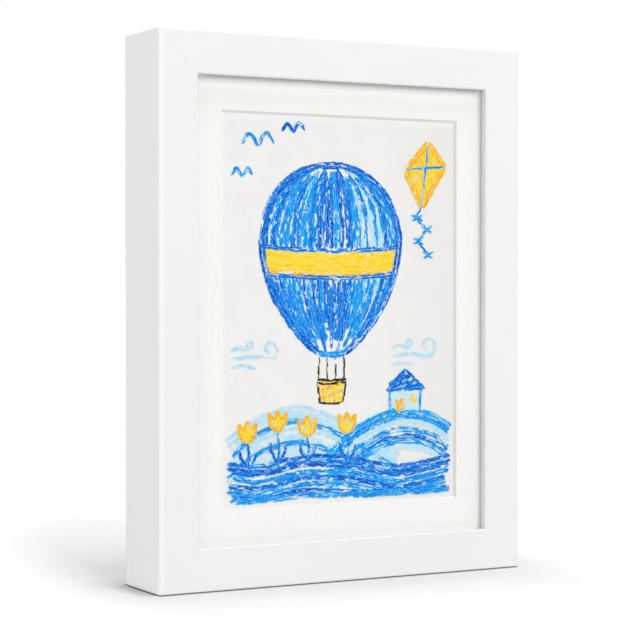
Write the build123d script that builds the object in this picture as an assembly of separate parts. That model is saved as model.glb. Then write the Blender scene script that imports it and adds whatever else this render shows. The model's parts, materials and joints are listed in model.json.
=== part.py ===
from build123d import *
import os
from math import acos, cos, sin

# A rear loading box frame for a child's drawing. Millimetres, +Z up, the front faces -Y.
# The origin is under the middle of the part, on the surface that it stands on.

# The drawing, the window round it and the mat that shows between the window and the mouldings
drawing_width = 148.0
drawing_height = 210.0
drawing_thickness = 0.2
mat_overlap_side = 5.2
mat_overlap_end = 5.5
mat_border_side = 14.9
mat_border_end = 16.7

# The four mouldings
frame_depth = 40.5
face_width = 21.3
lip_thickness = 3.6
rebate_width = 6.0
arris_radius = 0.8
sight_arris_radius = 0.8
rear_arris_radius = 0.5

# The sheets that lie in the rebate, from the front to the back
rebate_clearance = 0.7
glazing_thickness = 1.5
mat_thickness = 1.2
bevel_run_share = 1.0
card_thickness = 1.5
panel_thickness = 3.0
panel_proud = 0.2

# The tape tabs that hold the drawing to the back of the mat
tape_width = 20.0
tape_thickness = 0.1
tape_reach = 10.0
tape_place_share = 0.3

# The strips that hold the depth between the card and the back panel
spacer_thickness = 5.0

# The finger hole that lifts the back panel out
finger_hole_radius = 9.0
finger_hole_inset = 30.0

# The V nails that are driven across each mitre from behind
nail_arm = 3.6
nail_thickness = 0.4
nail_depth = 10.0
nail_place_shares = (0.3, 0.7)

# The turn buttons, their screws and washers
button_thickness = 1.2
button_tail_radius = 4.5
button_nose_radius = 3.2
button_nose_distance = 10.8
button_bend_start = 8.6
button_bend_run = 1.6
button_bend_rise = 0.9
button_arris_radius = 0.25
stile_button_share = 0.25
screw_shank_radius = 1.4
screw_head_radius = 2.9
screw_head_height = 1.3
screw_head_crown = 0.5
screw_grip = 9.0
screw_tip = 2.5
recess_length = 3.2
recess_width = 0.7
recess_depth = 0.7
washer_radius = 3.4
washer_thickness = 0.4
running_clearance = 0.08
turning_gap = 0.1

# The saw tooth hangers and their rivets
hanger_length = 40.0
hanger_width = 9.0
hanger_thickness = 0.8
hanger_stand_off = 1.8
hanger_foot = 6.5
hanger_ramp = 2.0
hanger_inset = 24.0
tooth_pitch = 2.5
tooth_depth = 1.6
rivet_radius = 1.2
rivet_head_radius = 2.2
rivet_head_height = 0.6

# The wall bumpers
bumper_radius = 4.75
bumper_height = 3.8
bumper_arris_radius = 0.9
bumper_from_end = 26.0

# How far a cutting shape runs past the face that it cuts
overrun = 1.0

# Places that follow from the sizes above
window_width = drawing_width - 2 * mat_overlap_side
window_height = drawing_height - 2 * mat_overlap_end
frame_width = window_width + 2 * (mat_border_side + face_width)
frame_height = window_height + 2 * (mat_border_end + face_width)
half_width = frame_width / 2
front_y = -(frame_depth + bumper_height) / 2
rear_y = front_y + frame_depth
wall_width = face_width - rebate_width
wall_middle = wall_width / 2
glazing_front = front_y + lip_thickness
mat_front = glazing_front + glazing_thickness
drawing_front = mat_front + mat_thickness
drawing_rear = drawing_front + drawing_thickness
card_front = drawing_rear + tape_thickness
card_rear = card_front + card_thickness
panel_rear = rear_y + panel_proud
panel_front = panel_rear - panel_thickness
sheet_half_width = half_width - wall_width - rebate_clearance
sheet_low = wall_width + rebate_clearance
sheet_high = frame_height - sheet_low
sheet_middle = frame_height / 2
button_rear_face = rear_y + washer_thickness + turning_gap
screw_head_face = button_rear_face + button_thickness + turning_gap
button_hole_radius = screw_shank_radius + running_clearance

# Where each turn button pivots, and how far it is turned about +Y so that its nose points inwards
stile_pivot_x = half_width - wall_middle
stile_pivot_low = frame_height * stile_button_share
stile_pivot_high = frame_height - stile_pivot_low
button_places = {
    "turn_button_left_upper": (-stile_pivot_x, stile_pivot_high, 0),
    "turn_button_left_lower": (-stile_pivot_x, stile_pivot_low, 0),
    "turn_button_right_upper": (stile_pivot_x, stile_pivot_high, 180),
    "turn_button_right_lower": (stile_pivot_x, stile_pivot_low, 180),
    "turn_button_top": (0, frame_height - wall_middle, 90),
    "turn_button_bottom": (0, wall_middle, -90),
}

# Where each hanger lies on the back panel, and how far it is turned about +Y
hanger_places = {
    "sawtooth_hanger_top": (0, sheet_high - hanger_inset, 0),
    "sawtooth_hanger_side": (hanger_inset - sheet_half_width, sheet_middle, -90),
}

bumper_high = frame_height - bumper_from_end
bumper_places = {
    "wall_bumper_top_left": (-stile_pivot_x, bumper_high),
    "wall_bumper_top_right": (stile_pivot_x, bumper_high),
    "wall_bumper_bottom_left": (-stile_pivot_x, bumper_from_end),
    "wall_bumper_bottom_right": (stile_pivot_x, bumper_from_end),
}


def block(x_low, x_high, y_low, y_high, z_low, z_high):
    """A square edged block between six planes."""
    middle = Pos((x_low + x_high) / 2, (y_low + y_high) / 2, (z_low + z_high) / 2)
    return middle * Box(x_high - x_low, y_high - y_low, z_high - z_low)


def slab(half_x, z_low, z_high, y_low, y_high):
    """A block that is centred from side to side."""
    return block(-half_x, half_x, y_low, y_high, z_low, z_high)


def prism(points, y_low, y_high):
    """An outline of x and z points, carried straight back from one depth to another."""
    corners = [(x, y_low, z) for x, z in points]
    outline = make_face(Polyline(*corners, close=True))
    return extrude(outline, y_high - y_low, dir=(0, 1, 0))


def round_bar(radius, y_low, y_high, x=0, z=0):
    """A round bar along Y, between two depths."""
    bar = Cylinder(radius, y_high - y_low)
    return Pos(x, (y_low + y_high) / 2, z) * Rot(90, 0, 0) * bar


def upright(solid, x, y, z, turn):
    """A solid made at the origin, turned about +Y and put in its place."""
    return Pos(x, y, z) * Rot(0, turn, 0) * solid


# The mouldings

def moulding_ring():
    """The four mouldings in one ring, with rounded arrises and the rebate behind the lip."""
    ring = slab(half_width, 0, frame_height, front_y, rear_y)
    corner_edges = ring.edges().filter_by(Axis.Y)
    front_edges = ring.faces().sort_by(Axis.Y)[0].edges()
    ring = fillet(corner_edges + front_edges, arris_radius)
    ring = fillet(ring.faces().sort_by(Axis.Y)[-1].edges(), rear_arris_radius)
    sight_half = half_width - face_width
    sight_high = frame_height - face_width
    ring -= slab(sight_half, face_width, sight_high, front_y - overrun, rear_y)
    rebate_half = half_width - wall_width
    rebate_high = frame_height - wall_width
    ring -= slab(rebate_half, wall_width, rebate_high, glazing_front, rear_y + overrun)
    sight_edges = ring.faces().sort_by(Axis.Y)[0].inner_wires()[0].edges()
    return fillet(sight_edges, sight_arris_radius)


def mitre_wedges():
    """The four wedges that meet at the mitres, one for each moulding."""
    reach = face_width + overrun
    outer = {
        "bottom_left": (-half_width, 0),
        "bottom_right": (half_width, 0),
        "top_right": (half_width, frame_height),
        "top_left": (-half_width, frame_height),
    }
    inner = {
        "bottom_left": (reach - half_width, reach),
        "bottom_right": (half_width - reach, reach),
        "top_right": (half_width - reach, frame_height - reach),
        "top_left": (reach - half_width, frame_height - reach),
    }
    ends = {
        "frame_stile_left": ("bottom_left", "top_left"),
        "frame_stile_right": ("top_right", "bottom_right"),
        "frame_rail_top": ("top_left", "top_right"),
        "frame_rail_bottom": ("bottom_right", "bottom_left"),
    }
    wedges = {}
    for name, (first, last) in ends.items():
        points = (outer[first], outer[last], inner[last], inner[first])
        wedges[name] = prism(points, front_y - overrun, rear_y + overrun)
    return wedges


def v_nail(x, z, side, rise):
    """One bent strip whose two arms run into the two mouldings of a mitre."""
    y_low = rear_y - nail_depth
    along_x = sorted((x, x + side * nail_arm))
    across_x = sorted((x, x + side * nail_thickness))
    along_z = sorted((z, z + rise * nail_arm))
    across_z = sorted((z, z + rise * nail_thickness))
    flat_arm = block(*along_x, y_low, rear_y, *across_z)
    upright_arm = block(*across_x, y_low, rear_y, *along_z)
    return flat_arm + upright_arm


def corner_nails():
    """Two V nails in each mitre, flush with the rear of the mouldings."""
    nails = []
    for side in (-1, 1):
        for rise in (-1, 1):
            corner_z = 0 if rise > 0 else frame_height
            for place_share in nail_place_shares:
                inset = wall_width * place_share
                x = side * (half_width - inset)
                nails.append(v_nail(x, corner_z + rise * inset, -side, rise))
    return nails


# The sheets in the rebate

def sheet(y_low, y_high):
    """A plain sheet that fills the rebate but for its clearance."""
    return slab(sheet_half_width, sheet_low, sheet_high, y_low, y_high)


def window_outline(y, shrink):
    """The window as a rectangle at one depth, drawn in by the same amount on each side."""
    half_x = window_width / 2 - shrink
    half_z = window_height / 2 - shrink
    low = sheet_middle - half_z
    high = sheet_middle + half_z
    corners = [(-half_x, y, low), (half_x, y, low), (half_x, y, high), (-half_x, y, high)]
    return make_face(Polyline(*corners, close=True))


def mat_board():
    """The window mat, whose bevel slopes in towards the drawing."""
    bevel_run = mat_thickness * bevel_run_share
    window = loft([window_outline(mat_front, 0), window_outline(drawing_front, bevel_run)], ruled=True)
    return sheet(mat_front, drawing_front) - window


def drawing_sheet():
    """The sheet of paper behind the window."""
    half_z = drawing_height / 2
    low = sheet_middle - half_z
    return slab(drawing_width / 2, low, sheet_middle + half_z, drawing_front, drawing_rear)


def tape_tab(x):
    """One strip of tape, stuck over the top of the drawing and on to the mat above it."""
    edge = sheet_middle + drawing_height / 2
    x_low = x - tape_width / 2
    x_high = x + tape_width / 2
    on_drawing = block(x_low, x_high, drawing_rear, card_front, edge - tape_reach, edge)
    on_mat = block(x_low, x_high, drawing_front, card_front, edge, edge + tape_reach)
    return on_drawing + on_mat


def spacer_strips():
    """Four strips round the rebate, the upright pair full height and the others between them."""
    inner_half = sheet_half_width - spacer_thickness
    inner_low = sheet_low + spacer_thickness
    inner_high = sheet_high - spacer_thickness
    depth = (card_rear, panel_front)
    return {
        "spacer_left": block(-sheet_half_width, -inner_half, *depth, sheet_low, sheet_high),
        "spacer_right": block(inner_half, sheet_half_width, *depth, sheet_low, sheet_high),
        "spacer_top": slab(inner_half, inner_high, sheet_high, *depth),
        "spacer_bottom": slab(inner_half, sheet_low, inner_low, *depth),
    }


def back_panel():
    """The rear board, with its finger hole and the holes for the hanger rivets."""
    panel = sheet(panel_front, panel_rear)
    hole_z = sheet_low + finger_hole_inset
    return panel - round_bar(finger_hole_radius, panel_front - overrun, panel_rear + overrun, z=hole_z)


# The turn buttons and what holds them

def button_outline():
    """The plate's outline: a round tail, a smaller round nose, and the lines that touch both."""
    lean = acos((button_tail_radius - button_nose_radius) / button_nose_distance)
    tail_x = button_tail_radius * cos(lean)
    tail_z = button_tail_radius * sin(lean)
    nose_x = button_nose_distance + button_nose_radius * cos(lean)
    nose_z = button_nose_radius * sin(lean)
    tip_x = button_nose_distance + button_nose_radius
    upper = Line((tail_x, 0, tail_z), (nose_x, 0, nose_z))
    nose = ThreePointArc((nose_x, 0, nose_z), (tip_x, 0, 0), (nose_x, 0, -nose_z))
    lower = Line((nose_x, 0, -nose_z), (tail_x, 0, -tail_z))
    tail = ThreePointArc((tail_x, 0, -tail_z), (-button_tail_radius, 0, 0), (tail_x, 0, tail_z))
    return make_face(Wire([upper, nose, lower, tail]))


def button_side():
    """The plate seen from its side: flat at the screw, bent up at the nose to give a grip."""
    start = -button_tail_radius - overrun
    end = button_nose_distance + button_nose_radius + overrun
    bend_end = button_bend_start + button_bend_run
    top_rise = button_bend_rise + button_thickness
    half_z = button_tail_radius + overrun
    points = (
        (start, 0),
        (button_bend_start, 0),
        (bend_end, button_bend_rise),
        (end, button_bend_rise),
        (end, top_rise),
        (bend_end, top_rise),
        (button_bend_start, button_thickness),
        (start, button_thickness),
    )
    corners = [(x, y, -half_z) for x, y in points]
    return extrude(make_face(Polyline(*corners, close=True)), 2 * half_z, dir=(0, 0, 1))


def turn_button():
    """One pressed steel turn button, its pivot at the origin and its nose towards +X."""
    height = button_bend_rise + button_thickness
    plate = extrude(button_outline(), height, dir=(0, 1, 0)) & button_side()
    top_edges = plate.faces().sort_by(Axis.Y)[-1].edges()
    plate = fillet(top_edges, button_arris_radius)
    return plate - round_bar(button_hole_radius, -overrun, height + overrun)


def washer():
    """The thin fibre washer that a turn button turns on."""
    ring = round_bar(washer_radius, 0, washer_thickness)
    return ring - round_bar(button_hole_radius, -overrun, washer_thickness + overrun)


def screw():
    """One pan head screw, with y zero at the rear face of the moulding and its point inwards."""
    head_low = screw_head_face - rear_y
    head_high = head_low + screw_head_height
    head = round_bar(screw_head_radius, head_low, head_high)
    head = fillet(head.edges().sort_by(Axis.Y)[-1], screw_head_crown)
    shank = round_bar(screw_shank_radius, -screw_grip, head_low)
    point = Cone(screw_shank_radius, 0, screw_tip)
    tip = Pos(0, -screw_grip - screw_tip / 2, 0) * Rot(90, 0, 0) * point
    half_length = recess_length / 2
    half_cut = recess_width / 2
    depths = (head_high - recess_depth, head_high + overrun)
    recess = block(-half_length, half_length, *depths, -half_cut, half_cut)
    recess += block(-half_cut, half_cut, *depths, -half_length, half_length)
    return head + shank + tip - recess


# The hangers

def hanger_side():
    """The hanger seen from its edge: a foot at each end and a raised bar between them."""
    half = hanger_length / 2
    ramp_start = half - hanger_foot
    ramp_end = ramp_start - hanger_ramp
    top = hanger_stand_off + hanger_thickness
    right = (
        (half, 0),
        (half, hanger_thickness),
        (ramp_start, hanger_thickness),
        (ramp_end, top),
    )
    under = (
        (ramp_end, hanger_stand_off),
        (ramp_start, 0),
    )
    left = tuple((-x, y) for x, y in reversed(right))
    under_left = tuple((-x, y) for x, y in reversed(under))
    outline = right + left + under_left + under
    corners = [(x, y, -hanger_width / 2) for x, y in outline]
    return extrude(make_face(Polyline(*corners, close=True)), hanger_width, dir=(0, 0, 1))


def tooth_gaps():
    """The row of notches along the lower edge of the raised bar."""
    bar = hanger_length - 2 * (hanger_foot + hanger_ramp)
    count = int(bar / tooth_pitch)
    low = -hanger_width / 2
    top = hanger_stand_off + hanger_thickness
    gaps = []
    for number in range(count):
        x = (number - (count - 1) / 2) * tooth_pitch
        points = ((x - tooth_pitch / 2, low), (x + tooth_pitch / 2, low), (x, low + tooth_depth))
        gaps.append(prism(points, hanger_stand_off - overrun, top + overrun))
    return gaps


def hanger():
    """One saw tooth hanger, y zero on the back panel and its teeth down."""
    return hanger_side() - tooth_gaps()


def rivet(x):
    """One rivet through a hanger's foot and the back panel, with a head on each side."""
    rear_head = round_bar(rivet_head_radius, hanger_thickness, hanger_thickness + rivet_head_height, x)
    body = round_bar(rivet_radius, -panel_thickness, hanger_thickness, x)
    inner_head = round_bar(rivet_head_radius, -panel_thickness - rivet_head_height, -panel_thickness, x)
    return rear_head + body + inner_head


def bumper():
    """One soft round bumper, y zero on the rear face of the moulding."""
    disc = round_bar(bumper_radius, 0, bumper_height)
    return fillet(disc.edges().sort_by(Axis.Y)[-1], bumper_arris_radius)


# All the pieces together

def all_pieces():
    """Each node's solid, or its group of solids, in place."""
    nails = corner_nails()
    screws = [upright(screw(), x, rear_y, z, turn) for x, z, turn in button_places.values()]
    washers = [upright(washer(), x, rear_y, z, turn) for x, z, turn in button_places.values()]
    foot_middle = (hanger_length - hanger_foot) / 2
    hangers = {}
    rivets = []
    for name, (x, z, turn) in hanger_places.items():
        pair = [upright(rivet(side * foot_middle), x, panel_rear, z, turn) for side in (-1, 1)]
        hangers[name] = upright(hanger(), x, panel_rear, z, turn) - pair
        rivets += pair

    ring = moulding_ring()
    pieces = {name: (ring & wedge) - (nails + screws) for name, wedge in mitre_wedges().items()}
    pieces["corner_v_nails"] = Compound(nails)
    pieces["glazing_pane"] = sheet(glazing_front, mat_front)
    pieces["mat_board"] = mat_board()
    pieces["drawing_sheet"] = drawing_sheet()
    tape_x = drawing_width * tape_place_share
    pieces["drawing_tape_tabs"] = Compound([tape_tab(-tape_x), tape_tab(tape_x)])
    pieces["backing_card"] = sheet(card_front, card_rear)
    pieces.update(spacer_strips())
    pieces["back_panel"] = back_panel() - rivets
    for name, (x, z, turn) in button_places.items():
        pieces[name] = upright(turn_button(), x, button_rear_face, z, turn)
    pieces["turn_button_screws"] = Compound(screws)
    pieces["turn_button_washers"] = Compound(washers)
    pieces.update(hangers)
    pieces["hanger_rivets"] = Compound(rivets)
    for name, (x, z) in bumper_places.items():
        pieces[name] = upright(bumper(), x, rear_y, z, 0)
    return pieces


os.makedirs("parts", exist_ok=True)
for node, shape in all_pieces().items():
    export_step(shape, f"parts/{node}.step")
    print(node, len(shape.solids()), "solids", round(shape.volume), "mm3")
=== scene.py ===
# %% [markdown]
# A deep white box frame with a child's crayon drawing in it.
#
# The built frame is loaded first, with its mouldings, pane, mat, sheet, boards, strips and turn buttons.
# This script gives each of them its finish, draws the crayon lines, and sets the camera, the floor and
# the light.

import json
import math
import random

import bpy
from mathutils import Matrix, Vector


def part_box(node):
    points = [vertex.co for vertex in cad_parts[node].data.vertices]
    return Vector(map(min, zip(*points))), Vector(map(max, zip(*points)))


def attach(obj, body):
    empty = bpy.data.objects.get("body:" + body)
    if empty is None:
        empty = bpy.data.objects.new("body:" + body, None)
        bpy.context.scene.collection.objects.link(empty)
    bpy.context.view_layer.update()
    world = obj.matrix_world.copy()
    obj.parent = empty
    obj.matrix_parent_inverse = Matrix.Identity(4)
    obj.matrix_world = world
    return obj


mm = 0.001
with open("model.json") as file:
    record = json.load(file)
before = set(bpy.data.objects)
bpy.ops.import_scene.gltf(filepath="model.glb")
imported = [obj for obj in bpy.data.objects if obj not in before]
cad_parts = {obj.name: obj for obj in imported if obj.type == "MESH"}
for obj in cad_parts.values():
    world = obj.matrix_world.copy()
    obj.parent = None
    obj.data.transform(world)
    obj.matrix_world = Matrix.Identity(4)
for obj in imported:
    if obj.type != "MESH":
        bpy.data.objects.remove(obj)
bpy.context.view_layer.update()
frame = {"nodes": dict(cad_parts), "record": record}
nodes = frame["nodes"]


def new_object(name, data):
    """A new object with its data, put into the scene."""
    item = bpy.data.objects.new(name, data)
    bpy.context.scene.collection.objects.link(item)
    return item


# %% [markdown]
# The camera comes first, so that every later choice is judged in the photograph's own view, which is from
# the left and a little above the middle. Its long lens keeps the uprights nearly parallel; a short one
# would make the near side loom. The place and the angles come from fitting the frame's edges.

# %% Camera
image_side = 640
lens_pixels = 1969.9
camera_place = (-0.4953, -0.8928, 0.1497)
camera_turn = 28.83
camera_dip = 0.97
sensor_mm = 36

lens = bpy.data.cameras.new("camera_lens")
lens.sensor_width = sensor_mm
lens.lens = lens_pixels * sensor_mm / image_side
camera = new_object("camera", lens)
camera.location = camera_place
camera.rotation_euler = (math.radians(90 - camera_dip), 0, -math.radians(camera_turn))
bpy.context.scene.camera = camera
print("lens", round(lens.lens, 1), "mm")

# %% [markdown]
# Colours are written as seen on a screen, in hex. Shaders add up light, so they need linear values, and
# one function turns each colour over. A second one adds a shader node. What goes into it is given in the
# order of its sockets, or by their names, as a number, a hex colour or another node, so that a whole
# material reads as a short list.

# %% Helpers for colours and shader nodes
def linear(hex_colour):
    """An sRGB hex colour as the linear values of a shader."""
    channels = [int(hex_colour[i:i + 2], 16) / 255 for i in (1, 3, 5)]
    return tuple(c / 12.92 if c <= 0.04045 else ((c + 0.055) / 1.055) ** 2.4 for c in channels) + (1,)


def add(tree, kind, *inputs, named=None, **options):
    """A new node; an input is a number, a hex colour, an output, or a node that gives its first one."""
    node = tree.nodes.new("ShaderNode" + kind)
    for name, value in options.items():
        setattr(node, name, value)
    given = list(zip([socket for socket in node.inputs if socket.enabled], inputs))
    given += [(node.inputs[name], value) for name, value in (named or {}).items()]
    for socket, value in given:
        if isinstance(value, bpy.types.Node):
            value = next(output for output in value.outputs if output.enabled)
        if isinstance(value, bpy.types.NodeSocket):
            tree.links.new(value, socket)
        else:
            socket.default_value = linear(value) if isinstance(value, str) else value
    return node


def new_material(name):
    """An empty material and its node tree."""
    material = bpy.data.materials.new(name)
    material.use_nodes = True
    material.node_tree.nodes.clear()
    return material, material.node_tree


# %% [markdown]
# Most surfaces here share one recipe. A fine pattern and a broad one, each sized from the real thing in
# millimetres, mix two close colours, move the roughness a little and raise a slight relief. A picture of
# the surface would do it too, but a pattern made by formula stays sharp at any distance. The pattern is
# placed by the part's own millimetres, so it sits still on the piece when that piece turns. Most of its
# values lie between 0.3 and 0.7, and a Map Range node spreads them over the values that are wanted.

# %% The shared surface recipe
noise_roughness = 0.55
noise_span = (0.3, 0.7)
fine_share, broad_share = 0.6, 0.4
colour_span = (0.25, 0.8)


def pattern(tree, size_mm, stretch=(1, 1, 1), detail=3.0):
    """Noise whose blobs are about size_mm across, drawn out along the axes where stretch is small."""
    place = add(tree, "TexCoord").outputs["Object"]
    scaled = add(tree, "VectorMath", place, stretch, operation="MULTIPLY")
    return add(tree, "TexNoise", scaled, 1 / (size_mm * mm), detail, noise_roughness)


def layered(tree, colour, *layers):
    """A colour with others laid over it, each by its own factor."""
    for factor, other in layers:
        colour = add(tree, "Mix", factor, colour, other, data_type="RGBA")
    return colour


def finish_surface(material, colour, grain, rough, relief, relief_mm, values):
    """The last nodes of a material: roughness and relief from patterns, and one principled shader."""
    tree = material.node_tree
    roughness = add(tree, "MapRange", grain, *noise_span, *rough)
    bump = add(tree, "Bump", named={"Strength": 1.0, "Distance": relief_mm * mm, "Height": relief})
    patterned = {"Base Color": colour, "Roughness": roughness, "Normal": bump}
    add(tree, "OutputMaterial", add(tree, "BsdfPrincipled", named={**values, **patterned}))
    return material


def surface(name, light, dark, fine_mm, broad_mm, rough, relief_mm, values, stretch=(1, 1, 1), painted_shades=None):
    """One material by the shared recipe; painted_shades may lay painted light and shade over it by place."""
    material, tree = new_material(name)
    fine = pattern(tree, fine_mm, stretch)
    broad = add(tree, "MapRange", pattern(tree, broad_mm, stretch, detail=2.0), *noise_span, 0, broad_share)
    both = add(tree, "Math", fine, fine_share, broad, operation="MULTIPLY_ADD", use_clamp=True)
    colour = layered(tree, light, (add(tree, "MapRange", both, *colour_span, 0, 1), dark))
    if painted_shades:
        colour = layered(tree, colour, *painted_shades(tree))
    return finish_surface(material, colour, fine, rough, fine, relief_mm, values)


# %% [markdown]
# Some finishes change from place to place on one piece, or with the way a face looks. The helpers here
# turn a point's place, or its face's direction, into a number from zero to one, which then mixes colours.
# They read only the part, so such a shade stays in its place from every side.

# %% Places and directions as numbers
def coordinate(tree, axis, shift=0.0):
    """One of the part's own coordinates, moved by a shift, in metres."""
    along = add(tree, "SeparateXYZ", add(tree, "TexCoord").outputs["Object"]).outputs[axis]
    return add(tree, "Math", along, shift, operation="ADD")


def ramp(tree, axis, edge, none_mm, full_mm):
    """Rises from zero to one between two distances from an edge, along one axis."""
    return add(tree, "MapRange", coordinate(tree, axis, -edge), none_mm * mm, full_mm * mm, 0, 1)


def leaning(tree, axis):
    """How far a face looks along one axis, from -1 to 1."""
    return add(tree, "SeparateXYZ", add(tree, "NewGeometry").outputs["True Normal"]).outputs[axis]


def facing(tree, axis, none, full):
    """Rises from zero to one with how far a face looks along one axis."""
    return add(tree, "MapRange", leaning(tree, axis), none, full, 0, 1)


def product(tree, total, *factors):
    """All factors multiplied."""
    for factor in factors:
        total = add(tree, "Math", total, factor, operation="MULTIPLY")
    return total


# %% [markdown]
# The corners of the frame are mitred: two mouldings meet on a 45 degree line that shows as a hairline.
# Lacquer has filled most of it: it is clearest in the middle of the top left mitre, and shows elsewhere
# as short traces. The hairline is worked out from the distances to the two nearest outer sides, which
# are equal exactly on the mitre.

# %% Mitre hairlines
low_corner, high_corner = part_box("frame_stile_left")
half_width = -low_corner.x
middle_height = (low_corner.z + high_corner.z) / 2
hairline_mm = (0.17, 0.051)
clear_part_mm = (14.1, 1.7, 3.9)
clear_share, faint_share = 0.9, 0.15
trace_mm = 9
trace_share, trace_span = 0.5, (0.55, 0.68)
half_change_mm = 10


def distance_between(tree, first, second):
    """How far apart two numbers are."""
    return add(tree, "Math", add(tree, "Math", first, second, operation="SUBTRACT"), operation="ABSOLUTE")


def distance_from_side(tree, axis, middle, half):
    """How far a point lies inside the nearer of two opposite outer sides, in metres."""
    out = add(tree, "Math", coordinate(tree, axis, -middle), operation="ABSOLUTE")
    return add(tree, "Math", half, out, operation="SUBTRACT")


def mitre_hairline(tree):
    """Strong on the mitre lines where they show, and zero away from them."""
    across = distance_from_side(tree, "X", 0, half_width)
    up = distance_from_side(tree, "Z", middle_height, middle_height)
    faint, full = (value * mm for value in hairline_mm)
    line = add(tree, "MapRange", distance_between(tree, across, up), faint, full, 0, 1)
    place, clear, gone = (value * mm for value in clear_part_mm)
    away = distance_between(tree, across, place)
    clear_part = product(tree, add(tree, "MapRange", away, clear, gone, clear_share, faint_share),
                         ramp(tree, "X", 0, half_change_mm, -half_change_mm),
                         ramp(tree, "Z", middle_height, -half_change_mm, half_change_mm))
    traces = add(tree, "MapRange", pattern(tree, trace_mm), *trace_span, 0, trace_share)
    return product(tree, line, add(tree, "Math", clear_part, traces, operation="MAXIMUM"))


# %% [markdown]
# The mouldings are wood, sprayed with satin white lacquer. It is nearly white, a little less bright than
# the mat, and dries with a very shallow orange peel about a millimetre across, which softens reflections.
# Along the left outer edge a strip of the front 3 mm wide is a touch whiter: a painted highlight.
#
# Three faces come out a few levels off under soft lamps, so light and shade are painted on them by place
# and direction. The foot of the left wall has painted light and is a little paler. The inner side of the
# right moulding and the ledge of the bottom one have painted shade and are a little darker.

# %% White lacquered mouldings
orange_peel_mm = 1.3
lacquer_cloud_mm = 45
groove_height = -3.0
painted_highlight_mm = (3.4, 2.6)
painted_light_foot_mm = 18
forwards, leftwards, upwards = (-0.2, -0.6), (-0.6, -0.9), (0.6, 0.9)


def white_lacquer():
    """Satin white lacquer on wood, with hairline mitres, a painted highlight and painted light and shade."""
    material, tree = new_material("satin_white_lacquer_on_wood")
    peel = pattern(tree, orange_peel_mm, detail=1.5)
    cloud = add(tree, "MapRange", pattern(tree, lacquer_cloud_mm, detail=2.0), *noise_span, 0, 1)
    # Painted highlight at the left outer edge; painted light at the foot of the left wall; painted shade on
    # the inner side of the right moulding and on the ledge.
    edge = product(tree, ramp(tree, "X", -half_width, *painted_highlight_mm), facing(tree, "Y", *forwards))
    to_left = facing(tree, "X", *leftwards)
    painted_foot_light = product(tree, to_left, ramp(tree, "Z", 0, painted_light_foot_mm, 0))
    painted_right_shade = product(tree, to_left, ramp(tree, "X", 0, -half_change_mm, half_change_mm))
    low_half = ramp(tree, "Z", middle_height, half_change_mm, -half_change_mm)
    painted_ledge_shade = product(tree, facing(tree, "Z", *upwards), low_half)
    line = mitre_hairline(tree)
    colour = layered(tree, "#F1F1F1", (cloud, "#EFEFEF"), (edge, "#F5F5F5"), (painted_foot_light, "#F8F8F8"),
                     (painted_right_shade, "#E9E9E9"), (painted_ledge_shade, "#EAEAEA"), (line, "#CFCDCB"))
    height = add(tree, "Math", line, groove_height, peel, operation="MULTIPLY_ADD")
    values = {"IOR": 1.5, "Coat Weight": 0.15, "Coat Roughness": 0.25}
    return finish_surface(material, colour, peel, (0.38, 0.46), height, 0.012, values)


lacquer = white_lacquer()

# %% [markdown]
# The window mat is board with a warm off white face paper, slightly toothed, and a core of smoother pulp
# that shows where the 45 degree bevel cuts through it. The bevel faces are told from the front face by
# their direction, because only they lean away from forward.
#
# Some shades in the photograph are narrower than soft lamps give, so they are in the board, by place and
# direction. It is darker right under the top moulding, beside the left one, and on the top, right and
# bottom bevels. It is lighter in strips that a corner would shade too much: a little below the top
# moulding, beside the right one and above the ledge. Beside the last two the relief also leans the face
# away from the corner, so that it keeps some of the light.

# %% Mat board
mat_tooth_mm = 0.45
mat_fibre_mm = 2.2
fibre_share, hollow_span = 0.5, (0.6, 0.95)
top_right_lean, bottom_lean, bevel_lean = (-0.2, -0.6), (0.2, 0.6), (0.9, 0.8)
sight_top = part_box("frame_rail_top")[0].z
sight_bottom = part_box("frame_rail_bottom")[1].z
sight_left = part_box("frame_stile_left")[1].x
sight_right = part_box("frame_stile_right")[0].x
painted_shade_under_top_mm = 1.9
painted_shade_left_mm = (8.0, 3.5)
# Each strip of painted light: the axis, the edge beside it, then where it starts, is full, still is full, and
# is gone.
painted_light_strips = (("Z", sight_bottom, 2.0, 0.5, -1.0, -2.0), ("X", sight_right, -3.5, -0.7, -0.55, -0.1),
                  ("Z", sight_top, -8.0, -4.0, -2.4, -1.4))
# Each lean: the axis, the edge, where the relief starts to rise, where it is full, and its height there.
relief_leans = (("Z", sight_bottom, 0.6, -0.6, 13), ("Z", sight_bottom, 1.6, -1.6, 14),
                ("X", sight_right, -0.96, 0.96, 8), ("X", sight_right, -2.56, 2.56, 18))


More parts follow.
